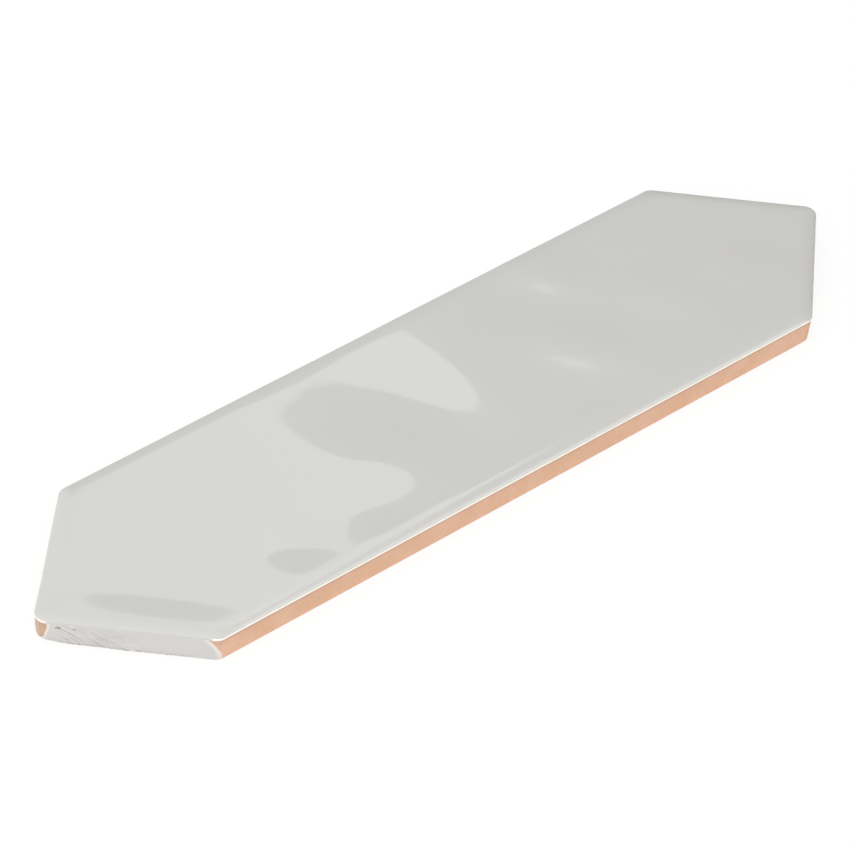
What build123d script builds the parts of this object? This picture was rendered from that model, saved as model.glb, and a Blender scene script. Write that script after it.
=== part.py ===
"""Picket wall tile: an elongated hexagon of pressed red clay with a wavy, glazed face.

The tile lies on its back. The origin is the middle of the back face, +X runs from point to
point, +Y across the long sides and +Z up to the glazed face. Sizes are millimetres and degrees.
"""

from build123d import *
from math import cos, exp, log, radians, sin, tan, tanh
import os

# Outline
tile_length = 300.0  # over the two rounded points
tile_width = 75.0  # across the long sides
tip_angle = 90.0  # between the two end edges of a point
tip_radius = 4.0  # rounding of each point, in plan
shoulder_radius = 4.0  # rounding where an end edge meets a long side, in plan

# Section
tile_thickness = 10.0  # back to the mean level of the glazed face
wall_draft = 4.5  # lean of the side walls, in towards the back
rim_height = 1.3  # upright collar that the glaze runs down, under the face's edge
rim_roll = 1.0  # radius of the rolled arris round the glazed face
back_chamfer = 0.4  # broken edge round the back face
face_allowance = 1.8  # blank left over the collar, for the wavy face to be cut out of

# Cushion: the face falls away towards its rim
cushion_width = 4.6  # how far in from the rim the fall begins
cushion_drop = 0.6  # fall at the rim
cushion_power = 3  # how strongly the fall gathers at the rim
mitre_blend = 1.5  # softening of the cushion's mitre lines at the corners

# Hand-made face: a shallow dish across the tile, and long low swells and hollows
dish_rise = 0.25  # long sides over the middle line
swells = [  # height, middle in X and Y, half length, half width, direction from +X
    (-0.19, -9.0, 5.5, 24.0, 13.0, -71.0),
    (0.08, -49.0, 11.0, 20.0, 10.0, -75.0),
    (0.07, 11.5, 5.5, 29.0, 9.0, 80.0),
    (0.04, -38.0, 42.0, 12.0, 9.0, 0.0),
    (-0.115, -44.5, -21.0, 11.0, 8.0, 0.0),
    (-0.16, -74.0, -21.0, 7.0, 6.0, -25.0),
    (-0.30, -118.8, -11.2, 18.5, 5.5, -47.0),
    (0.18, 50.0, -8.0, 17.0, 7.6, -57.0),
    (0.16, 62.0, 24.0, 10.0, 6.5, -60.0),
    (0.14, 85.0, -4.0, 14.0, 6.5, -58.0),
    (0.12, 112.0, -6.0, 12.0, 6.5, -58.0),
]
sheet_pitch = 3.0  # spacing of the points that the face is drawn through
sheet_margin = 6.0  # how far the face's sheet runs past the outline

# Keyed back: shallow grooves along the tile that hold the adhesive
groove_offsets = [-21.0, -7.0, 7.0, 21.0]  # middles, across the tile
groove_width = 7.0
groove_depth = 0.5
groove_inset = 9.0  # plain margin between a groove's end and the tile's end edges

half_tip = radians(tip_angle / 2)
sharp_end = tile_length / 2 + tip_radius * (1 / sin(half_tip) - 1)  # point before it is rounded
shoulder_x = sharp_end - tile_width / 2 / tan(half_tip)
rim_level = tile_thickness - cushion_drop - rim_height


def edge_distance(x, y):
    """Distance in from the nearest side of the outline, blended along the corners' mitres."""
    to_side = tile_width / 2 - abs(y)
    to_end = (sharp_end - abs(x)) * sin(half_tip) - abs(y) * cos(half_tip)
    blend = mitre_blend * log(1 + exp(-abs(to_side - to_end) / mitre_blend))
    return min(to_side, to_end) - blend


def cushion_fall(inwards):
    """Share of the cushion's drop, 1 at the rim and 0 at its inner edge; it levels out past the rim."""
    if inwards < 0:
        return 1 - cushion_power * tanh(inwards)
    return (1 - min(1.0, inwards)) ** cushion_power


def face_height(x, y):
    """Height of the glazed face over the back: dish and swells, less the cushion's fall at the rim."""
    height = tile_thickness + dish_rise * ((2 * y / tile_width) ** 2 - 1 / 3)
    for rise, mid_x, mid_y, half_length, half_width, direction in swells:
        turn = radians(direction)
        along = ((x - mid_x) * cos(turn) + (y - mid_y) * sin(turn)) / half_length
        across = ((y - mid_y) * cos(turn) - (x - mid_x) * sin(turn)) / half_width
        height += rise * exp(-(along**2 + across**2) / 2)
    return height - cushion_drop * cushion_fall(edge_distance(x, y) / cushion_width)


def sheet_steps(span):
    """Evenly spaced values over a span and its margins, about the sheet pitch apart."""
    reach = span / 2 + sheet_margin
    count = round(2 * reach / sheet_pitch)
    return [-reach + 2 * reach * i / count for i in range(count + 1)]


# The glazed face as one smooth sheet
rows_x = sheet_steps(tile_length)
rows_y = sheet_steps(tile_width)
sheet_points = [[Vector(x, y, face_height(x, y)) for y in rows_y] for x in rows_x]
face_sheet = Face.make_surface_from_array_of_points(sheet_points, tol=0.005)

with BuildPart() as tile:
    # Outline at the foot of the glazed collar, where the tile is widest
    with BuildSketch(Plane.XY.offset(rim_level)) as outline:
        with BuildLine():
            Polyline(
                (sharp_end, 0),
                (shoulder_x, tile_width / 2),
                (-shoulder_x, tile_width / 2),
                (-sharp_end, 0),
                (-shoulder_x, -tile_width / 2),
                (shoulder_x, -tile_width / 2),
                close=True,
            )
        make_face()
        shoulders = outline.vertices().group_by(Axis.Y)
        fillet(outline.vertices().filter_by(lambda corner: abs(corner.Y) < tip_radius / 2), tip_radius)
        fillet(shoulders[0] + shoulders[-1], shoulder_radius)
    # Leaning walls below, upright collar above
    extrude(outline.sketch, amount=-rim_level, taper=wall_draft)
    extrude(outline.sketch, amount=rim_height + face_allowance)

    # The collar is cut down to the wavy face and its arris rolled over
    extrude(face_sheet, amount=rim_height + 2 * face_allowance, dir=(0, 0, 1), mode=Mode.SUBTRACT)
    glazed_face = tile.faces().sort_by(Axis.Z)[-1]
    fillet(glazed_face.edges(), rim_roll)

    # Broken back edge and the adhesive grooves
    back_face = tile.faces().sort_by(Axis.Z)[0]
    chamfer(back_face.edges(), back_chamfer)
    with BuildSketch(Plane.XY) as grooves:
        for offset in groove_offsets:
            groove_edge = abs(offset) + groove_width / 2
            half_run = sharp_end - groove_edge / tan(half_tip) - groove_inset / sin(half_tip)
            with Locations((0, offset)):
                SlotOverall(2 * half_run, groove_width)
    extrude(grooves.sketch, amount=groove_depth, mode=Mode.SUBTRACT)

tile.part.label = "tile"
os.makedirs("parts", exist_ok=True)
export_step(tile.part, "parts/tile.step")
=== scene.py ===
"""Picket wall tile: fired red clay with a wavy grey glaze, built around its CAD frame in Blender."""

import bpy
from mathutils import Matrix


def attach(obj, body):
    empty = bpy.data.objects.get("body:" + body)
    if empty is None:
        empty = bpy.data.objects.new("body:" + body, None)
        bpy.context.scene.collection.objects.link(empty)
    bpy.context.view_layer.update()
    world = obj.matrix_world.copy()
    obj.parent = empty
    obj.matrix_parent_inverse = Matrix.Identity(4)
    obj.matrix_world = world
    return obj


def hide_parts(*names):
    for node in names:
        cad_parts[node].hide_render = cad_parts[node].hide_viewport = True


bl_info = {
    "name": "Picket Wall Tile",
    "version": (1, 0, 0),
    "blender": (4, 5, 0),
    "location": "View3D > Sidebar > Picket Tile",
    "description": "Builds a glazed picket wall tile over its CAD frame and sets up its studio",
    "category": "Object",
}

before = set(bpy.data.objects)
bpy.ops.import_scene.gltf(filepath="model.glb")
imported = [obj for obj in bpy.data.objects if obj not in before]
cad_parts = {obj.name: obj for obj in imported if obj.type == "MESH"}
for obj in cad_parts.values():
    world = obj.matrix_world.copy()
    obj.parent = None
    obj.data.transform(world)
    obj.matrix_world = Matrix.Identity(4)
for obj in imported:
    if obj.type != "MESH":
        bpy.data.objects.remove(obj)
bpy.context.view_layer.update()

from math import cos, exp, hypot, log, pi, prod, radians, sin, sqrt, tan

import bmesh
import bpy
from bmesh.types import BMEdge, BMFace, BMVert
from bpy.props import FloatProperty, FloatVectorProperty, PointerProperty
from mathutils import Matrix, Vector

MM = 0.001
TINY = 1e-9
TILE_NODE = "tile"

# Swells and hollows of the hand-made face, in millimetres and degrees, as the part's source has them:
# height, middle in X and Y, half length, half width, direction from +X
FACE_SWELLS = (
    (-0.19, -9.0, 5.5, 24.0, 13.0, -71.0),
    (0.08, -49.0, 11.0, 20.0, 10.0, -75.0),
    (0.07, 11.5, 5.5, 29.0, 9.0, 80.0),
    (0.04, -38.0, 42.0, 12.0, 9.0, 0.0),
    (-0.115, -44.5, -21.0, 11.0, 8.0, 0.0),
    (-0.16, -74.0, -21.0, 7.0, 6.0, -25.0),
    (-0.30, -118.8, -11.2, 18.5, 5.5, -47.0),
    (0.18, 50.0, -8.0, 17.0, 7.6, -57.0),
    (0.16, 62.0, 24.0, 10.0, 6.5, -60.0),
    (0.14, 85.0, -4.0, 14.0, 6.5, -58.0),
    (0.12, 112.0, -6.0, 12.0, 6.5, -58.0),
)

# Section of the face: the dish's mean level as a share of its rise, the power of the cushion's fall, and
# where in the rolled arris the cushion's slope is taken, as a share of its radius
DISH_MEAN = 1 / 3
CUSHION_POWER = 3
ARRIS_SHARE = 1 / 3

# Mesh of the face: segments round a point and round a shoulder, turns of the rolled arris in degrees, further
# loops in millimetres in from the rim, and how near to a cut a vertex is taken up by it
TIP_SEGMENTS = 12
SHOULDER_SEGMENTS = 10
ARRIS_TURNS = (12, 24, 36, 48, 60, 75, 90)
CUSHION_LOOPS = (1.4, 1.9, 2.5, 3.1)
CUT_REACH = 1e-4

# Rows down the wall: millimetres over the glaze's lower edge with the share of its lip that is stepped in,
# how many of those rows are glazed, and then shares of the clay's height
LIP_ROWS = ((0.16, 0.0), (0.06, 0.15), (-0.02, 0.6), (-0.06, 1.0))
GLAZED_ROWS = 2
CLAY_ROWS = (0.98, 0.85, 0.7, 0.55, 0.4, 0.25, 0.12)

# Adhesive grooves across the back: their middles in millimetres, and segments of their two round ends
GROOVE_OFFSETS = (-21.0, -7.0, 7.0, 21.0)
GROOVE_SEGMENTS = 24

# Order of the materials on the mesh, and the angle from which an edge is shaded sharp
GLAZE, CLAY, END_RUN = range(3)
SHARP_ANGLE = radians(40)

# The glazed end wall looks to -X and -Y, and a place along it is in millimetres from its sharp point. X and Y
# of its normal are both under the first value on the flat wall, and under the second on its round corners
# too. Its material stops at a foot, in millimetres over the back.
END_WALL_NORMAL = -0.6
END_CORNER_NORMAL = -0.15
END_FOOT = 0.3

# Where along that wall the run of glaze hides the lip over the clay, and over what length the lip fades
LIP_HIDDEN = (4.0, 51.0)
LIP_FADE = 1.5

# Wear of that wall's foot, in millimetres: its depth, the further depth at the point, and its height. Each
# depth fades along the wall, and both fade round the point in Y.
WORN_FOOT = 0.35
WORN_FOOT_FADE = (25.0, 19.0)
WORN_POINT = 1.3
WORN_POINT_FADE = (12.0, 0.0)
WORN_ROUND_FADE = (3.5, -1.0)
WORN_HEIGHT = 3.5

# Glaze: levels in millimetres over the rim's foot between which it breaks to cream, and the wander of that
# line; its faint clouds; how dull the cream is at the near point, over millimetres in from it; roughness
BREAK_RISE = (1.25, 0.85)
BREAK_WANDER = 0.25
GLAZE_CLOUD = 0.015
POINT_CREAM = 0.84
POINT_CREAM_FADE = (9.0, 4.0)
GLAZE_ROUGHNESS = 0.012
CLOUD_ROUGHNESS = 0.016
CREAM_ROUGHNESS = 0.25

# The run of glaze where it comes over the rim: its fades along the end wall and in Y, and its shade
RIM_RUN_START = (3.2, 4.8)
RIM_RUN_END = (51.6, 49.6)
RIM_RUN_ROUND = (0.0, -1.5)
RIM_RUN_SHADE = 0.97

# Clay: the part of each noise that shows as patches, specks and grain; the specks' strength and depth; shades
# of the grain; painted light and shade up the wall, paler at the back and darker under the rim; painted
# shade, darker and greyer, at the near point
PATCH_NOISE = (0.35, 0.68)
SPECK_NOISE = (0.70, 0.80)
SPECK_STRENGTH = 0.5
SPECK_DEPTH = 0.6
GRAIN_NOISE = (0.2, 0.8)
GRAIN_SHADES = (0.93, 1.05)
WALL_PAINTED_LIGHT = (1.05, 0.96)
POINT_PAINTED_SHADE = (0.76, 0.88, 0.97)
POINT_PAINTED_SHADE_FADE = (7.0, 3.0)
CLAY_ROUGHNESS = 0.86

# Painted shade: the dark line in the clay under the glaze's lip, with its levels over the rim's foot, wander
# and strength
LIP_SHADE_RISE = (-0.75, -0.15)
LIP_SHADE_WANDER = 0.3
LIP_SHADE_STRENGTH = 0.6

# Clay of the end wall: painted shade, darker and greyer near the point than far from it, and painted shade
# under the rim
END_PAINTED_SHADE_NEAR = (0.70, 0.74, 0.80)
END_PAINTED_SHADE_FAR = (0.88, 0.90, 0.92)
END_PAINTED_SHADE_FADE = (10.0, 40.0)
END_LIP_SHADE_RISE = (-3.0, -0.6)
END_LIP_SHADE_STRENGTH = 0.45

# Upright edges of the run on the end wall: where each starts at the rim and how far it spreads to the foot,
# their wander and softness, and the pale lip inside each
RUN_NEAR = 4.1
RUN_NEAR_SPREAD = 2.4
RUN_FAR = 50.0
RUN_FAR_SPREAD = 3.9
RUN_WANDER = 0.9
RUN_EDGE = (-0.1, 0.25)
RUN_NEAR_LIP = (1.0, 0.3)
RUN_FAR_LIP = (2.2, 0.3)
RUN_LIP_STRENGTH = 0.36

# Glaze of the run: its clouds, drawn out along the wall, its roughness, its height and that of its drag marks
# as shares of the bump, and the height of the clay's grain beside it
RUN_CLOUD = 0.04
RUN_CLOUD_STRETCH = 0.05
RUN_ROUGHNESS = 0.28
RUN_HEIGHT = 0.6
DRAG_HEIGHT = 0.4
END_GRAIN_HEIGHT = 0.25

# Drag marks in the run: slope and curve of their slant, how they are drawn out along it, their fades along
# the wall, and the part of their noise that shows as pale marks and as dark pits
DRAG_SLOPE = 0.72
DRAG_CURVE = 0.092
DRAG_STRETCH = 0.1
DRAG_START = (4.5, 8.0)
DRAG_END = (36.0, 24.0)
MARK_NOISE = (0.50, 0.64)
MARK_STRENGTH = 0.6
PIT_NOISE = (0.46, 0.36)
PIT_STRENGTH = 0.5

# Flecks along the run's foot: fades in level and along the wall, and the part of their noise that shows
FLECK_LEVELS = (1.6, 0.7)
FLECK_START = (6.0, 9.0)
FLECK_END = (47.0, 40.0)
FLECK_NOISE = (0.47, 0.57)
FLECK_STRENGTH = 0.7

# A scratch along that slant: its place, its half width, and the fades of its foot and head in level
SCRATCH_PLACE = 17.35
SCRATCH_WIDTH = (0.5, 0.15)
SCRATCH_FOOT = (4.1, 4.8)
SCRATCH_HEAD = (7.5, 7.0)
SCRATCH_STRENGTH = 0.6

# Chips in the run, in millimetres: place along the wall, level, half length, half height. Their edges are
# ragged, and soft over shares of those half sizes.
END_CHIPS = (
    (7.4, 7.2, 0.9, 0.45),
    (12.0, 7.1, 0.6, 0.3),
    (8.4, 0.5, 0.5, 0.35),
    (12.9, 0.5, 0.4, 0.3),
    (26.7, 0.5, 0.6, 0.4),
    (38.2, 0.5, 0.4, 0.3),
)
CHIP_RAGGED = 1.2
CHIP_EDGE = (1.2, 0.6)
CHIP_STRENGTH = 0.9

# The floor: radius in metres, segments, how far in millimetres it reaches in under the tile, the strength of
# its white, and the share of that white in what the camera sees
FLOOR_RADIUS = 14.0
FLOOR_SEGMENTS = 96
FLOOR_LAP = 2.0
FLOOR_GLOW = 1.02
FLOOR_WHITE = 0.86

# Straight edges in the sky: a first point and a second, each an azimuth from +X and an elevation in degrees,
# and a softness in degrees. What an edge bounds lies to its right. The face mirrors the softbox's lower edge.
SOFTBOX_LOW_EDGE = ((46.5, 42.9), (136.5, 0.0), 0.025)
SOFTBOX_RIGHT_EDGE = ((34.5, 56.2), (45.0, 42.9), 1.2)
SOFTBOX_TOP_EDGE = ((136.5, 0.0), (46.5, 56.0), 2.0)
SOFTBOX_LEFT_EDGE = ((100.0, 0.0), (100.0, 80.0), 2.0)
SOFTBOX_HOT_EDGE = ((48.5, 0.0), (48.5, 80.0), 5.0)
SIDE_PANEL_EDGE = ((58.0, 43.0), (76.0, 0.0), 2.5)
ROOM_RIGHT_EDGE = ((50.0, 0.0), (50.0, 80.0), 6.0)
LOW_SKY_EDGE = ((40.0, 80.0), (40.0, 0.0), 1.5)

# Elevations in degrees over which the low sky, the glow and the high sky set in
LOW_SKY_RISE = (36.0, 41.0)
GLOW_RISE = (41.2, 43.0)
HIGH_SKY_RISE = (43.0, 46.0)

# Sides of the strip light and of the gap beside the softbox: an axis of the direction, and a fade along it
STRIP_SIDES = ((0, 0.38, 0.46), (0, 0.66, 0.58), (1, 0.06, -0.10), (2, 0.0, 0.1))
GAP_SIDES = ((0, 0.53, 0.48), (0, 0.30, 0.36), (2, 0.77, 0.81), (1, 0.0, 0.1))

# Brightness of the softbox's left end and of its hot right end, as shares of the key
KEY_ENDS = (0.8, 1.2)

# The front fill: azimuth, elevation and distance, then width and height, in degrees and metres
FILL_PLACE = (210.0, 34.0, 4.0)
FILL_SIZE = (6.0, 4.5)

# The camera, in metres: its place, its view direction and its right hand, its sensor in millimetres, its clip
CAMERA_PLACE = (-0.70858, -0.74791, 0.94961)
CAMERA_FORWARD = (0.502667, 0.536391, -0.677942)
CAMERA_RIGHT = (0.76449, -0.64193, 0.05909)
CAMERA_SENSOR = 36.0
CAMERA_CLIP = (0.05, 60.0)


def length(name, description, millimetres):
    """A length property, shown in the scene's units."""
    return FloatProperty(
        name=name, description=description, default=millimetres * MM, unit="LENGTH", precision=5
    )


def angle(name, description, degrees):
    """An angle property, given in degrees."""
    return FloatProperty(name=name, description=description, default=radians(degrees), subtype="ANGLE")


def colour(name, description, value):
    """A colour property in linear light."""
    return FloatVectorProperty(
        name=name, description=description, default=value, subtype="COLOR", min=0, max=1
    )


def radiance(name, description, value):
    """A brightness in the sky, where 1 is white."""
    return FloatProperty(name=name, description=description, default=value, min=0)


class TileSizes(bpy.types.PropertyGroup):
    """Sizes of the fired tile."""

    tile_length: length("Length", "Over the two rounded points", 300.0)
    tile_width: length("Width", "Across the long sides", 75.0)
    tip_angle: angle("Tip angle", "Between the two end edges of a point", 90.0)
    tip_radius: length("Tip radius", "Rounding of each point in plan", 4.0)
    shoulder_radius: length("Shoulder radius", "Rounding between an end edge and a long side", 4.0)
    thickness: length("Thickness", "Back to the mean level of the glazed face", 10.0)
    wall_draft: angle("Wall draft", "Lean of the side walls in towards the back", 4.5)
    rim_height: length("Rim height", "Collar that the glaze runs down", 1.3)
    rim_roll: length("Rim roll", "Radius of the rolled arris round the face", 1.0)
    glaze_lip: length("Glaze lip", "How far the glaze stands out over the bare clay", 0.18)
    lip_rise: length("Lip rise", "How far the glaze stops short of the collar's foot", 0.25)
    back_chamfer: length("Back chamfer", "Broken edge round the back", 0.4)
    cushion_width: length("Cushion width", "How far in from the rim the face begins to fall", 4.6)
    cushion_drop: length("Cushion drop", "Fall of the face at its rim", 0.6)
    mitre_blend: length("Mitre blend", "Softening of the cushion's mitre lines", 1.5)
    dish_rise: length("Dish rise", "Long sides over the middle line", 0.25)
    groove_width: length("Groove width", "Adhesive groove in the back", 7.0)
    groove_depth: length("Groove depth", "Adhesive groove in the back", 0.5)
    groove_inset: length("Groove inset", "Plain margin between a groove's end and the end edges", 9.0)
    mesh_pitch: length("Mesh pitch", "Spacing of the cuts across the face", 1.5)


class TileFinish(bpy.types.PropertyGroup):
    """Colours of the glaze and the clay."""

    glaze: colour("Glaze", "Light warm grey glaze on the face", (0.548, 0.543, 0.518))
    glaze_thin: colour("Thin glaze", "Cream slip where the glaze breaks over the arris", (0.95, 0.88, 0.82))
    end_glaze: colour("End glaze", "Thinner run of glaze on one end wall", (0.523, 0.515, 0.499))
    drag_mark: colour("Drag mark", "Pale marks dragged through that run", (0.74, 0.72, 0.70))
    drag_pit: colour("Drag pit", "Dark pits dragged through that run", (0.35, 0.33, 0.32))
    fleck: colour("Fleck", "Grey flecks along the foot of that run", (0.36, 0.33, 0.31))
    scratch: colour("Scratch", "Brown scratch in that run", (0.40, 0.29, 0.24))
    chip: colour("Chip", "Clay in the chips of that run", (0.28, 0.17, 0.13))
    clay: colour("Clay", "Bare fired clay", (0.710, 0.435, 0.290))
    clay_pale: colour("Pale clay", "Paler, pinker grain in the clay", (0.745, 0.475, 0.335))
    # Dark clay is also the colour of the painted shade under the glaze's lip
    clay_dark_and_shade: colour("Dark clay", "Burnt specks and the line under the glaze", (0.44, 0.29, 0.21))


class StudioSettings(bpy.types.PropertyGroup):
    """Light, floor and camera."""

    floor: colour("Floor", "Plain pale floor", (0.86, 0.86, 0.85))
    key_radiance: radiance("Key", "Brightness of the overhead softbox", 1.95)
    side_radiance: radiance("Side panel", "Brightness of the panel at the left", 1.4)
    strip_radiance: radiance("Strip light", "Brightness of the strip at the right", 2.7)
    gap_radiance: radiance("Gap", "Brightness between softbox and strip", 1.1)
    room_left: radiance("Left of the room", "Brightness of the room at the left", 0.52)
    room_right: radiance("Right of the room", "Brightness of the room at the right", 0.08)
    sky_low: radiance("Low sky", "Brightness of the room below the softbox", 0.46)
    sky_high: radiance("High sky", "Brightness of the room over the tile", 0.5)
    sky_glow: radiance("Glow", "Brightness just under the softbox", 0.76)
    fill_power: FloatProperty(
        name="Fill", description="Power of the front fill", default=175.0, min=0, unit="POWER"
    )
    focal: FloatProperty(
        name="Focal length",
        description="Camera lens in millimetres",
        default=200.0,
        subtype="DISTANCE_CAMERA",
    )


class TileShape:
    """The tile's section and plan as plain formulas, in millimetres."""

    def __init__(self, sizes):
        for key in TileSizes.__annotations__:
            value = getattr(sizes, key)
            setattr(self, key, value if "angle" in key or "draft" in key else value / MM)
        self.half_tip = self.tip_angle / 2
        self.end_normal = (sin(self.half_tip), cos(self.half_tip))
        self.sharp_end = self.tile_length / 2 + self.tip_radius * (1 / sin(self.half_tip) - 1)
        self.rim_level = self.thickness - self.cushion_drop - self.rim_height

    def corners(self, inset=0.0):
        """Sharp corners of the outline, or of one set in from it, counter-clockwise from the +X point."""
        half = self.tile_width / 2 - inset
        end = self.sharp_end - inset / sin(self.half_tip)
        side = end - half / tan(self.half_tip)
        return ((end, 0), (side, half), (-side, half), (-end, 0), (-side, -half), (side, -half))

    def side_distances(self, x, y):
        """Distances in from the nearer long side and the nearer end edge."""
        to_side = self.tile_width / 2 - abs(y)
        to_end = (self.sharp_end - abs(x)) * self.end_normal[0] - abs(y) * self.end_normal[1]
        return to_side, to_end

    def edge_distance(self, x, y):
        """Distance in from the sharp outline, blended along the corners' mitres."""
        to_side, to_end = self.side_distances(x, y)
        softening = self.mitre_blend * log(1 + exp(-abs(to_side - to_end) / self.mitre_blend))
        return min(to_side, to_end) - softening

    def rim(self, x, y):
        """True distance in from the rounded outline, and the outward direction in plan."""
        nx, ny = self.end_normal
        ax, ay = abs(x), abs(y)
        out_x = 1 if x >= 0 else -1
        out_y = 1 if y >= 0 else -1
        radius = self.shoulder_radius
        centre_y = self.tile_width / 2 - radius
        centre_x = self.sharp_end - (radius + centre_y * ny) / nx
        ux, uy = ax - centre_x, ay - centre_y
        if ux > 0 and uy * nx > ux * ny:
            reach = hypot(ux, uy)
            return radius - reach, (out_x * ux / reach, out_y * uy / reach)
        ux = ax - (self.sharp_end - self.tip_radius / nx)
        if ux > 0 and ay * nx < ux * ny:
            reach = max(hypot(ux, ay), TINY)
            return self.tip_radius - reach, (out_x * ux / reach, out_y * ay / reach)
        to_side, to_end = self.side_distances(x, y)
        if to_side < to_end:
            return to_side, (0.0, out_y)
        return to_end, (out_x * nx, out_y * ny)

    def wave_height(self, x, y):
        """Height of the hand-made face: its dish and swells, with no fall at the rim."""
        height = self.thickness + self.dish_rise * ((2 * y / self.tile_width) ** 2 - DISH_MEAN)
        for rise, mid_x, mid_y, half_length, half_width, direction in FACE_SWELLS:
            turn = radians(direction)
            along = ((x - mid_x) * cos(turn) + (y - mid_y) * sin(turn)) / half_length
            across = ((y - mid_y) * cos(turn) - (x - mid_x) * sin(turn)) / half_width
            height += rise * exp(-(along**2 + across**2) / 2)
        return height

    def face_height(self, x, y):
        """Height of the glazed face: its waves, less the cushion's fall at the rim."""
        inwards = max(0.0, min(1.0, self.edge_distance(x, y) / self.cushion_width))
        return self.wave_height(x, y) - self.cushion_drop * (1 - inwards) ** CUSHION_POWER

    def skin_height(self, x, y):
        """Height of the face with its arris rolled over to the upright collar."""
        roll = self.rim_roll
        distance, _ = self.rim(x, y)
        if distance >= roll:
            return self.face_height(x, y)
        inwards = roll * ARRIS_SHARE / self.cushion_width
        slope = CUSHION_POWER * self.cushion_drop / self.cushion_width * (1 - inwards) ** (CUSHION_POWER - 1)
        centre = self.wave_height(x, y) - self.cushion_drop + roll * (slope - sqrt(1 + slope**2))
        arc = centre + sqrt(max(0.0, roll**2 - (roll - distance) ** 2))
        return min(self.face_height(x, y), arc)

    def end_place(self, x, y):
        """Distance along the glazed end wall from its sharp point, for numbers or for shader values."""
        return (x + self.sharp_end) * self.end_normal[1] - y * self.end_normal[0]


class Wire:
    """A shader value: wraps an output socket, and its arithmetic adds Math nodes."""

    def __init__(self, socket):
        self.socket = socket
        self.tree = socket.id_data

    @staticmethod
    def node(tree, kind, settings=None, inputs=None, output=0):
        """Adds a node of a kind, sets it, feeds its sockets and gives one of its outputs, if it has any."""
        node = tree.nodes.new(kind)
        for key, value in (settings or {}).items():
            setattr(node, key, value)
        for key, value in (inputs or {}).items():
            if isinstance(value, Wire):
                tree.links.new(value.socket, node.inputs[key])
            else:
                node.inputs[key].default_value = value
        return Wire(node.outputs[output]) if node.outputs else None

    def other(self, output):
        """Another output of the same node."""
        return Wire(self.socket.node.outputs[output])

    def math(self, operation, first, second=0.0):
        """One Math node."""
        return Wire.node(self.tree, "ShaderNodeMath", {"operation": operation}, {0: first, 1: second})

    def __add__(self, value):
        return self.math("ADD", self, value)

    __radd__ = __add__

    def __sub__(self, value):
        return self.math("SUBTRACT", self, value)

    def __rsub__(self, value):
        return self.math("SUBTRACT", value, self)

    def __mul__(self, value):
        return self.math("MULTIPLY", self, value)

    __rmul__ = __mul__


def smooth_step(value, low, high):
    """0 below low, 1 above high, eased between them; high may be the lower one."""
    falling = low > high
    ends = (high, low) if falling else (low, high)
    step = Wire.node(
        value.tree,
        "ShaderNodeMapRange",
        {"interpolation_type": "SMOOTHSTEP"},
        {"Value": value, "From Min": ends[0], "From Max": ends[1]},
    )
    return 1 - step if falling else step


def blend(factor, first, second):
    """Goes from a first value to a second one."""
    return first + (second - first) * factor


def tint(factor, first, second):
    """Mixes two colours, or links to colours."""
    first, second = (c if isinstance(c, Wire) else (*c, 1.0) for c in (first, second))
    inputs = {0: factor, 6: first, 7: second}
    return Wire.node(factor.tree, "ShaderNodeMix", {"data_type": "RGBA"}, inputs, output=2)


def multiply(base, shade):
    """Multiplies one link to a colour by another."""
    settings = {"data_type": "RGBA", "blend_type": "MULTIPLY"}
    return Wire.node(base.tree, "ShaderNodeMix", settings, {0: 1.0, 6: base, 7: shade}, output=2)


def scaled(shade, share):
    """A colour made paler or darker."""
    return [part * share for part in shade]


def shades(shade, spread):
    """A colour a little darker, and the same a little paler."""
    return scaled(shade, 1 - spread), scaled(shade, 1 + spread)


def grey(value):
    """A grey of one value."""
    return (value, value, value)


def axes(vector):
    """X, Y and Z of a vector."""
    first = Wire.node(vector.tree, "ShaderNodeSeparateXYZ", None, {0: vector})
    return first, first.other("Y"), first.other("Z")


def flat_place(x, y):
    """A vector of two values."""
    return Wire.node(x.tree, "ShaderNodeCombineXYZ", None, {0: x, 1: y})


def noise(place, scale, detail, roughness=0.5):
    """Noise in features per millimetre, about 0 to 1."""
    inputs = {"Vector": place, "Scale": scale, "Detail": detail, "Roughness": roughness}
    return Wire.node(place.tree, "ShaderNodeTexNoise", None, inputs)


def wander(place, reach, scale):
    """A slow shift to both sides, within about half its reach."""
    return (noise(place, scale, detail=2.0) - 0.5) * reach


def bump(height, distance_mm, strength=1.0):
    """A normal bent by a height of 0 to 1."""
    inputs = {"Height": height, "Distance": distance_mm * MM, "Strength": strength}
    return Wire.node(height.tree, "ShaderNodeBump", None, inputs)


def clear_nodes(owner):
    """The emptied node tree of a material or a world."""
    owner.use_nodes = True
    owner.node_tree.nodes.clear()
    return owner.node_tree


def new_material(name):
    """An empty material, and its Object coordinates in millimetres."""
    material = bpy.data.materials.new(name)
    coords = Wire.node(clear_nodes(material), "ShaderNodeTexCoord", output="Object")
    inputs = {0: coords, "Scale": 1 / MM}
    return material, Wire.node(coords.tree, "ShaderNodeVectorMath", {"operation": "SCALE"}, inputs)


def finish_material(tree, sockets):
    """Feeds one Principled shader and puts it on the surface."""
    shader = Wire.node(tree, "ShaderNodeBsdfPrincipled", None, sockets)
    Wire.node(tree, "ShaderNodeOutputMaterial", None, {"Surface": shader})


def over_rim(level, shape, rises):
    """A step in level, between two rises over the rim's foot."""
    return smooth_step(level, *(shape.rim_level + rise for rise in rises))


def near_point(x, shape, fade):
    """1 at the point at -X, faded out over two distances in from it."""
    return smooth_step(x, *(reach - shape.tile_length / 2 for reach in fade))


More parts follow.
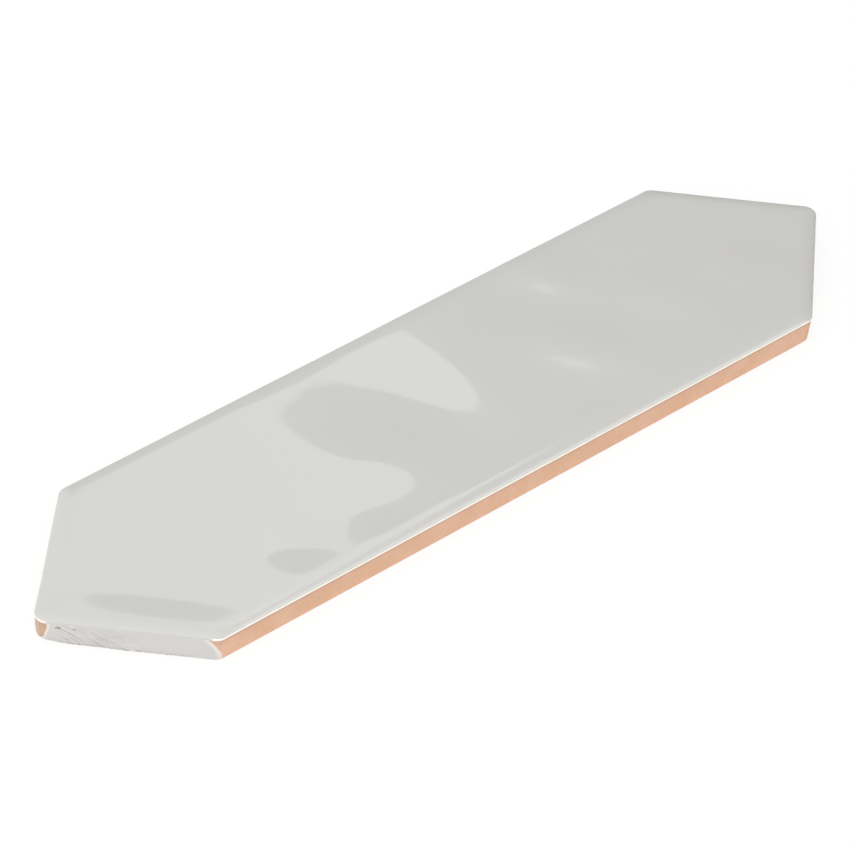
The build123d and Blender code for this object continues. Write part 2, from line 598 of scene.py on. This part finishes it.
def glaze_material(look, shape):
    """Glossy grey glaze that breaks to cream where it thins over the arris."""
    material, place = new_material("grey_glaze")
    x, y, level = axes(place)
    thin = over_rim(level + wander(place, BREAK_WANDER, scale=0.35), shape, BREAK_RISE)
    along = shape.end_place(x, y)
    covered = smooth_step(along, *RIM_RUN_START) * smooth_step(along, *RIM_RUN_END)
    run = thin * covered * smooth_step(y, *RIM_RUN_ROUND)
    thin = thin - run
    cloud = noise(place, scale=0.02, detail=2.0)
    body = tint(cloud, *shades(look.glaze, GLAZE_CLOUD))
    at_point = near_point(x, shape, POINT_CREAM_FADE)
    cream = tint(at_point, look.glaze_thin, scaled(look.glaze_thin, POINT_CREAM))
    skin = tint(run, tint(thin, body, cream), scaled(look.end_glaze, RIM_RUN_SHADE))
    peel = noise(place, scale=0.3, detail=1.0)
    rough = GLAZE_ROUGHNESS + CLOUD_ROUGHNESS * cloud + CREAM_ROUGHNESS * thin
    normal = bump(peel, distance_mm=0.002)
    finish_material(place.tree, {"Base Color": skin, "Roughness": rough, "IOR": 1.52, "Normal": normal})
    return material


def clay_colours(place, look):
    """Grainy bare clay: its colour and its height."""
    patches = noise(place, scale=0.12, detail=3.0)
    grain = noise(place, scale=1.1, detail=4.0, roughness=0.65)
    base = tint(smooth_step(patches, *PATCH_NOISE), look.clay, look.clay_pale)
    specks = smooth_step(noise(place, scale=1.9, detail=2.0), *SPECK_NOISE)
    base = tint(specks * SPECK_STRENGTH, base, look.clay_dark_and_shade)
    base = multiply(base, tint(smooth_step(grain, *GRAIN_NOISE), *map(grey, GRAIN_SHADES)))
    return base, grain - specks * SPECK_DEPTH


def clay_material(look, shape):
    """Bare pressed clay of the walls and the back."""
    material, place = new_material("bare_clay")
    x, _, level = axes(place)
    base, grain = clay_colours(place, look)
    # Painted shade at the near point: the clay darker and greyer there
    base = multiply(base, tint(near_point(x, shape, POINT_PAINTED_SHADE_FADE), grey(1.0), POINT_PAINTED_SHADE))
    # Painted light and shade up the wall: paler at the back, darker under the rim
    base = multiply(base, tint(level * (1 / shape.rim_level), *map(grey, WALL_PAINTED_LIGHT)))
    # Painted shade: a dark line in the clay just under the glaze's lip
    line = over_rim(level + wander(place, LIP_SHADE_WANDER, scale=0.4), shape, LIP_SHADE_RISE)
    base = tint(line * LIP_SHADE_STRENGTH, base, look.clay_dark_and_shade)
    normal = bump(grain, distance_mm=0.12, strength=0.6)
    finish_material(
        place.tree, {"Base Color": base, "Roughness": CLAY_ROUGHNESS, "IOR": 1.45, "Normal": normal}
    )
    return material


def run_outline(place, along, level, shape):
    """Where the run of glaze covers the end wall, and the pale lip inside its two upright edges."""
    shift = wander(place, RUN_WANDER, scale=0.7)
    down = 1 - level * (1 / shape.rim_level)
    near = along + shift - (RUN_NEAR - down * down * RUN_NEAR_SPREAD)
    far = RUN_FAR + (2 - down) * down * RUN_FAR_SPREAD - along + shift
    cover = smooth_step(near.math("MINIMUM", near, far), *RUN_EDGE)
    return cover, smooth_step(near, *RUN_NEAR_LIP) + smooth_step(far, *RUN_FAR_LIP)


def end_clay(place, along, level, look, shape):
    """Clay beside the run of glaze, with painted shade near the point and under the rim: its colour and its
    height.
    """
    base, grain = clay_colours(place, look)
    # Painted shade on the end wall: darker and greyer near the point, less so towards the shoulder
    base = multiply(base, tint(smooth_step(along, *END_PAINTED_SHADE_FADE), END_PAINTED_SHADE_NEAR, END_PAINTED_SHADE_FAR))
    # Painted shade under the rim's lip on the end wall
    line = over_rim(level, shape, END_LIP_SHADE_RISE)
    return tint(line * END_LIP_SHADE_STRENGTH, base, look.clay_dark_and_shade), grain


def run_glaze(place, along, level, look):
    """Glaze of the run with its marks: its colour and its height."""
    # The drag marks curve down and away from the point, over the half of the wall nearest to it
    slant = along + level * (DRAG_SLOPE + DRAG_CURVE * level)
    lines = noise(flat_place(slant, along * DRAG_STRETCH), scale=1.3, detail=4.0, roughness=0.65)
    dragged = smooth_step(along, *DRAG_END) * smooth_step(along, *DRAG_START)
    marks = smooth_step(lines, *MARK_NOISE) * dragged
    pits = smooth_step(lines, *PIT_NOISE) * dragged
    clouds = noise(flat_place(along * RUN_CLOUD_STRETCH, level), scale=0.8, detail=2.0)
    glaze = tint(clouds, *shades(look.end_glaze, RUN_CLOUD))
    glaze = tint(marks * MARK_STRENGTH, glaze, look.drag_mark)
    glaze = tint(pits * PIT_STRENGTH, glaze, look.drag_pit)

    flecks = smooth_step(noise(place, scale=1.2, detail=2.0), *FLECK_NOISE)
    flecks = flecks * smooth_step(level, *FLECK_LEVELS)
    flecks = flecks * smooth_step(along, *FLECK_START) * smooth_step(along, *FLECK_END)
    glaze = tint(flecks * FLECK_STRENGTH, glaze, look.fleck)

    off_scratch = slant - SCRATCH_PLACE
    scratch = smooth_step(off_scratch.math("ABSOLUTE", off_scratch), *SCRATCH_WIDTH)
    scratch = scratch * smooth_step(level, *SCRATCH_FOOT) * smooth_step(level, *SCRATCH_HEAD)
    glaze = tint(scratch * SCRATCH_STRENGTH, glaze, look.scratch)

    ragged = wander(place, CHIP_RAGGED, scale=1.6)
    for chip_along, chip_level, half_length, half_height in END_CHIPS:
        off_along = (along - chip_along) * (1 / half_length)
        off_level = (level - chip_level) * (1 / half_height)
        reach = off_along.math("SQRT", off_along * off_along + off_level * off_level)
        glaze = tint(smooth_step(reach + ragged, *CHIP_EDGE) * CHIP_STRENGTH, glaze, look.chip)
    return glaze, RUN_HEIGHT + marks * DRAG_HEIGHT - pits * DRAG_HEIGHT


def end_material(look, shape):
    """One end wall, where a run of glaze covers the clay but for its two upright corners."""
    material, place = new_material("end_glaze_run")
    x, y, level = axes(place)
    along = shape.end_place(x, y)
    cover, lip = run_outline(place, along, level, shape)
    clay, grain = end_clay(place, along, level, look, shape)
    glaze, relief = run_glaze(place, along, level, look)
    glaze = tint(lip * RUN_LIP_STRENGTH, glaze, look.glaze_thin)
    skin = tint(cover, clay, glaze)
    rough = blend(cover, CLAY_ROUGHNESS, RUN_ROUGHNESS)
    height = cover * relief + (1 - cover) * grain * END_GRAIN_HEIGHT
    normal = bump(height, distance_mm=0.15, strength=0.7)
    finish_material(place.tree, {"Base Color": skin, "Roughness": rough, "IOR": 1.5, "Normal": normal})
    return material


def only(kind, items):
    """The vertices, edges or faces among the items that an operator gives."""
    return [item for item in items if isinstance(item, kind)]


def ease(value, low, high):
    """0 at low, 1 at high, eased between them; high may be the lower one."""
    part = min(1.0, max(0.0, (value - low) / (high - low)))
    return part * part * (3 - 2 * part)


def round_corners(bm, verts, run, segments):
    """Rounds corners of the flat outline."""
    bmesh.ops.bevel(
        bm,
        geom=verts,
        offset=run,
        offset_type="OFFSET",
        affect="VERTICES",
        segments=segments,
        profile=0.5,
        material=-1,
    )


def cut_grid(bm, normal, reach, pitch):
    """Cuts the sheet across one direction with evenly spaced planes."""
    count = round(2 * reach / pitch)
    for step in range(1, count):
        place = normal * (-reach + 2 * reach * step / count)
        geometry = bm.verts[:] + bm.edges[:] + bm.faces[:]
        bmesh.ops.bisect_plane(bm, geom=geometry, dist=CUT_REACH, plane_co=place, plane_no=normal)


def face_sheet(bm, shape):
    """The glazed face: a rounded hexagon with rim loops and a fine grid, raised to its waves."""
    verts = [bm.verts.new((x, y, 0)) for x, y in shape.corners()]
    bm.faces.new(verts)
    tips, shoulders = verts[0::3], verts[1:3] + verts[4:]
    tip_run = shape.tip_radius / tan(shape.half_tip)
    shoulder_run = shape.shoulder_radius * tan((pi / 2 - shape.half_tip) / 2)
    round_corners(bm, tips, tip_run, TIP_SEGMENTS)
    round_corners(bm, shoulders, shoulder_run, SHOULDER_SEGMENTS)
    middle = bm.faces[:][0]
    loops = [shape.rim_roll * (1 - cos(radians(turn))) for turn in ARRIS_TURNS]
    reached = 0.0
    for distance in (*loops, *CUSHION_LOOPS):
        step = distance - reached
        bmesh.ops.inset_region(bm, faces=[middle], thickness=step, use_boundary=True, use_even_offset=True)
        reached = distance
    cut_grid(bm, Vector((0, 1, 0)), shape.tile_width / 2, shape.mesh_pitch)
    cut_grid(bm, Vector((1, 0, 0)), shape.tile_length / 2, shape.mesh_pitch)
    for vert in bm.verts:
        vert.co.z = shape.skin_height(vert.co.x, vert.co.y)


def worn_inset(shape, x, y, level):
    """How far the foot of the glazed end wall is worn in, most at its point."""
    along = shape.end_place(x, y)
    depth = WORN_FOOT * ease(along, *WORN_FOOT_FADE) + WORN_POINT * ease(along, *WORN_POINT_FADE)
    return depth * ease(y, *WORN_ROUND_FADE) * max(0.0, 1 - level / WORN_HEIGHT) ** 2


def bare_share(shape, x, y, normal):
    """1 where the wall is bare clay, 0 where the run of glaze covers it."""
    if max(normal) > END_WALL_NORMAL:
        return 1.0
    along = shape.end_place(x, y)
    start, end = LIP_HIDDEN
    return 1.0 - min(1.0, max(0.0, min(along - start, end - along) / LIP_FADE))


def drop_wall(bm, shape):
    """Draws the rim down the collar, under the glaze's lip, down the leaning wall to the back."""
    lean = tan(shape.wall_draft)
    foot = shape.rim_level
    lip_edge = foot + shape.lip_rise
    low = shape.back_chamfer
    profile = [(lip_edge + rise, 0.0, share) for rise, share in LIP_ROWS]
    profile += [(foot * part, foot * (1 - part) * lean, part) for part in CLAY_ROWS]
    profile += [(low, (foot - low) * lean, 0.0), (0.0, (foot - low) * lean + low, 0.0)]
    edges = [edge for edge in bm.edges if edge.is_boundary]
    previous = {}
    for row, (level, inset, lipped) in enumerate(profile):
        made = bmesh.ops.extrude_edge_only(bm, edges=edges)["geom"]
        edges = [edge for edge in only(BMEdge, made) if edge.is_boundary]
        current = {}
        for vert in only(BMVert, made):
            x, y, _ = vert.co
            _, normal = shape.rim(x, y)
            joined = (edge.other_vert(vert) for edge in vert.link_edges if not edge.is_boundary)
            source = next(other for other in joined if other not in current)
            total = inset + shape.glaze_lip * lipped * bare_share(shape, x, y, normal)
            total += worn_inset(shape, x, y, level)
            shift = total - previous.get(source, 0.0)
            vert.co = (x - normal[0] * shift, y - normal[1] * shift, level)
            current[vert] = total
        previous = current
        for face in only(BMFace, made):
            face.material_index = GLAZE if row < GLAZED_ROWS else CLAY
    return edges


def close_back(bm, shape, rim_edges):
    """Closes the back face round the adhesive grooves and sinks them."""
    loops = []
    radius = shape.groove_width / 2
    half_step = Matrix.Rotation(pi / GROOVE_SEGMENTS, 3, "Z")
    margin = shape.groove_inset / sin(shape.half_tip)
    for offset in GROOVE_OFFSETS:
        run = shape.sharp_end - (abs(offset) + radius) / tan(shape.half_tip) - margin
        ring = bmesh.ops.create_circle(bm, cap_ends=False, segments=GROOVE_SEGMENTS, radius=radius)["verts"]
        bmesh.ops.rotate(bm, verts=ring, cent=(0, 0, 0), matrix=half_step)
        for side in (1, -1):
            half = [vert for vert in ring if vert.co.x * side > 0]
            bmesh.ops.translate(bm, verts=half, vec=(side * (run - radius), 0, 0))
        bmesh.ops.translate(bm, verts=ring, vec=(0, offset, 0))
        loops.append(list(dict.fromkeys(edge for vert in ring for edge in vert.link_edges)))
    outline = rim_edges + sum(loops, [])
    flat = bmesh.ops.triangle_fill(bm, edges=outline, use_beauty=True, normal=(0, 0, -1))["geom"]
    faces = only(BMFace, flat)
    for loop in loops:
        made = bmesh.ops.extrude_edge_only(bm, edges=loop)["geom"]
        bmesh.ops.translate(bm, verts=only(BMVert, made), vec=(0, 0, shape.groove_depth))
        rim = [edge for edge in only(BMEdge, made) if edge.is_boundary]
        faces += only(BMFace, made)
        faces += bmesh.ops.contextual_create(bm, geom=rim)["faces"]
    for face in faces:
        face.material_index = CLAY


def mark_end_wall(bm):
    """Gives the wall under the run of glaze its own material."""
    for face in bm.faces:
        turned = max(face.normal.x, face.normal.y) < END_CORNER_NORMAL
        if face.material_index == CLAY and turned and face.calc_center_median().z > END_FOOT:
            face.material_index = END_RUN


def add_mesh(context, bm, name, materials):
    """Makes an object at the origin from a finished bmesh, with its materials in order."""
    mesh = bpy.data.meshes.new(name)
    bm.to_mesh(mesh)
    bm.free()
    for material in materials:
        mesh.materials.append(material)
    piece = bpy.data.objects.new(name, mesh)
    context.scene.collection.objects.link(piece)
    return piece


class PICKET_OT_tile(bpy.types.Operator):
    """Build the fired tile with its wavy glazed face, rolled rim, clay walls and keyed back"""

    bl_idname = "picket.tile"
    bl_label = "Fired Tile"

    def execute(self, context):
        look = context.scene.picket_finish
        shape = TileShape(context.scene.picket_sizes)
        bm = bmesh.new()
        face_sheet(bm, shape)
        rim_edges = drop_wall(bm, shape)
        close_back(bm, shape, rim_edges)
        bmesh.ops.recalc_face_normals(bm, faces=bm.faces[:])
        mark_end_wall(bm)
        for face in bm.faces:
            face.smooth = True
        bmesh.ops.scale(bm, verts=bm.verts[:], vec=(MM, MM, MM))
        materials = [make(look, shape) for make in (glaze_material, clay_material, end_material)]
        piece = add_mesh(context, bm, "fired_tile", materials)
        piece.data.set_sharp_from_angle(angle=SHARP_ANGLE)
        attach(piece, "root")
        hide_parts(TILE_NODE)
        return {"FINISHED"}


def sky_direction(azimuth, elevation, distance=1.0):
    """A point at an azimuth from +X and an elevation, in degrees."""
    turn, rise = radians(azimuth), radians(elevation)
    return Vector((cos(rise) * cos(turn), cos(rise) * sin(turn), sin(rise))) * distance


def past_edge(sight, first, second, softness):
    """1 to the right of an edge in the sky that runs from a first point to a second, 0 to its left."""
    side = sky_direction(*first).cross(sky_direction(*second)).normalized()
    inputs = {0: sight, 1: side}
    lean = Wire.node(sight.tree, "ShaderNodeVectorMath", {"operation": "DOT_PRODUCT"}, inputs, output="Value")
    return smooth_step(lean, -sin(radians(softness)), sin(radians(softness)))


def sky_brightness(sight, studio):
    """The room with the lights in it, each laid over those before it."""
    parts = axes(sight)
    low_sky, glow, high_sky = (
        smooth_step(parts[2], *(sin(radians(elevation)) for elevation in rise))
        for rise in (LOW_SKY_RISE, GLOW_RISE, HIGH_SKY_RISE)
    )
    low_sky = low_sky * past_edge(sight, *LOW_SKY_EDGE)
    gap, strip = (
        prod(smooth_step(parts[axis], low, high) for axis, low, high in sides)
        for sides in (GAP_SIDES, STRIP_SIDES)
    )
    softbox_edges = (SOFTBOX_LOW_EDGE, SOFTBOX_RIGHT_EDGE, SOFTBOX_TOP_EDGE, SOFTBOX_LEFT_EDGE)
    softbox, side_panel = (
        prod(past_edge(sight, *edge) for edge in edges)
        for edges in (softbox_edges, (SIDE_PANEL_EDGE, SOFTBOX_LEFT_EDGE))
    )
    key = studio.key_radiance * blend(past_edge(sight, *SOFTBOX_HOT_EDGE), *KEY_ENDS)
    level = blend(past_edge(sight, *ROOM_RIGHT_EDGE), studio.room_left, studio.room_right)
    for mask, brightness in (
        (low_sky, studio.sky_low),
        (glow, studio.sky_glow),
        (high_sky, studio.sky_high),
        (gap, studio.gap_radiance),
        (side_panel, studio.side_radiance),
        (softbox, key),
        (strip, studio.strip_radiance),
    ):
        level = blend(mask, level, brightness)
    return level


def add_fill(context, power):
    """A wide rectangular light in front of the tile, which gives no glint of its own."""
    lamp = bpy.data.lights.new("front_fill", "AREA")
    lamp.shape = "RECTANGLE"
    lamp.size, lamp.size_y = FILL_SIZE
    lamp.energy = power
    fill = bpy.data.objects.new("front_fill", lamp)
    context.scene.collection.objects.link(fill)
    fill.visible_glossy = False
    place = sky_direction(*FILL_PLACE)
    fill.location = place
    fill.rotation_euler = (-place).to_track_quat("-Z", "Y").to_euler()


def floor_sheet(bm, shape):
    """A wide disc, open under the tile so that light from below reaches its back."""
    bmesh.ops.create_circle(bm, cap_ends=False, segments=FLOOR_SEGMENTS, radius=FLOOR_RADIUS)
    opening = [bm.verts.new((x * MM, y * MM, 0)) for x, y in shape.corners(FLOOR_LAP)]
    for first, second in zip(opening, opening[1:] + opening[:1]):
        bm.edges.new((first, second))
    made = bmesh.ops.triangle_fill(bm, edges=bm.edges[:], use_beauty=True, normal=(0, 0, 1))["geom"]
    bmesh.ops.reverse_faces(bm, faces=[face for face in only(BMFace, made) if face.normal.z < 0])


def floor_material(studio):
    """White to the camera with the tile's shadow left in, matt to other light, and clear from below."""
    material = bpy.data.materials.new("studio_floor")
    tree = clear_nodes(material)
    path = Wire.node(tree, "ShaderNodeLightPath", output="Is Camera Ray")
    seen = path.math("MAXIMUM", path, path.other("Is Glossy Ray"))
    seen = path.math("MAXIMUM", seen, path.other("Is Transmission Ray"))
    matt = Wire.node(tree, "ShaderNodeBsdfDiffuse", None, {"Color": (*studio.floor, 1.0)})
    white = Wire.node(tree, "ShaderNodeEmission", None, {"Color": (1, 1, 1, 1), "Strength": FLOOR_GLOW})
    upper = Wire.node(tree, "ShaderNodeMixShader", None, {0: seen * FLOOR_WHITE, 1: matt, 2: white})
    from_below = Wire.node(tree, "ShaderNodeNewGeometry", output="Backfacing")
    clear = Wire.node(tree, "ShaderNodeBsdfTransparent")
    mixed = Wire.node(tree, "ShaderNodeMixShader", None, {0: from_below, 1: upper, 2: clear})
    Wire.node(tree, "ShaderNodeOutputMaterial", None, {"Surface": mixed})
    return material


class PICKET_OT_studio(bpy.types.Operator):
    """Lay the pale floor, set the lights and aim the camera"""

    bl_idname = "picket.studio"
    bl_label = "Studio"

    def execute(self, context):
        scene = context.scene
        studio = scene.picket_studio
        bm = bmesh.new()
        floor_sheet(bm, TileShape(scene.picket_sizes))
        floor = add_mesh(context, bm, "studio_floor", [floor_material(studio)])
        self.light(context, studio)
        self.camera(context, studio)
        scene.view_settings.view_transform = "Standard"
        return {"FINISHED"}

    def light(self, context, studio):
        """A wide fill in front, and a sky of lights for the glaze to mirror, white to the camera itself."""
        add_fill(context, studio.fill_power)
        world = bpy.data.worlds.new("studio_sky")
        context.scene.world = world
        tree = clear_nodes(world)
        sight = Wire.node(tree, "ShaderNodeTexCoord", output="Generated")
        seen = Wire.node(tree, "ShaderNodeLightPath", output="Is Camera Ray")
        shade = tint(seen, sky_brightness(sight, studio), grey(1.0))
        background = Wire.node(tree, "ShaderNodeBackground", None, {"Color": shade, "Strength": 1.0})
        Wire.node(tree, "ShaderNodeOutputWorld", None, {"Surface": background})

    def camera(self, context, studio):
        """A long lens from over the near point, as the photograph was taken."""
        data = bpy.data.cameras.new("camera")
        data.lens = studio.focal
        data.sensor_width = CAMERA_SENSOR
        data.clip_start, data.clip_end = CAMERA_CLIP
        camera = bpy.data.objects.new("camera", data)
        context.scene.collection.objects.link(camera)
        forward = Vector(CAMERA_FORWARD).normalized()
        right = Vector(CAMERA_RIGHT)
        right = (right - forward * right.dot(forward)).normalized()
        turn = Matrix((right, right.cross(forward), -forward)).transposed()
        camera.matrix_world = Matrix.Translation(CAMERA_PLACE) @ turn.to_4x4()
        context.scene.camera = camera


class PICKET_PT_panel(bpy.types.Panel):
    """Buttons and values of the picket tile"""

    bl_label = "Picket Tile"
    bl_idname = "PICKET_PT_panel"
    bl_space_type = "VIEW_3D"
    bl_region_type = "UI"
    bl_category = "Picket Tile"

    def draw(self, context):
        layout = self.layout
        for operator in (PICKET_OT_tile, PICKET_OT_studio):
            layout.operator(operator.bl_idname)
        for group in (context.scene.picket_sizes, context.scene.picket_finish, context.scene.picket_studio):
            box = layout.box()
            for key in group.__annotations__:
                box.prop(group, key)


CLASSES = (TileSizes, TileFinish, StudioSettings, PICKET_OT_tile, PICKET_OT_studio, PICKET_PT_panel)


def register():
    for item in CLASSES:
        bpy.utils.register_class(item)
    bpy.types.Scene.picket_sizes = PointerProperty(type=TileSizes)
    bpy.types.Scene.picket_finish = PointerProperty(type=TileFinish)
    bpy.types.Scene.picket_studio = PointerProperty(type=StudioSettings)


def unregister():
    for name in ("picket_sizes", "picket_finish", "picket_studio"):
        delattr(bpy.types.Scene, name)
    for item in reversed(CLASSES):
        bpy.utils.unregister_class(item)


def main():
    register()
    bpy.ops.picket.tile()
    bpy.ops.picket.studio()


if __name__ == "__main__":
    main()
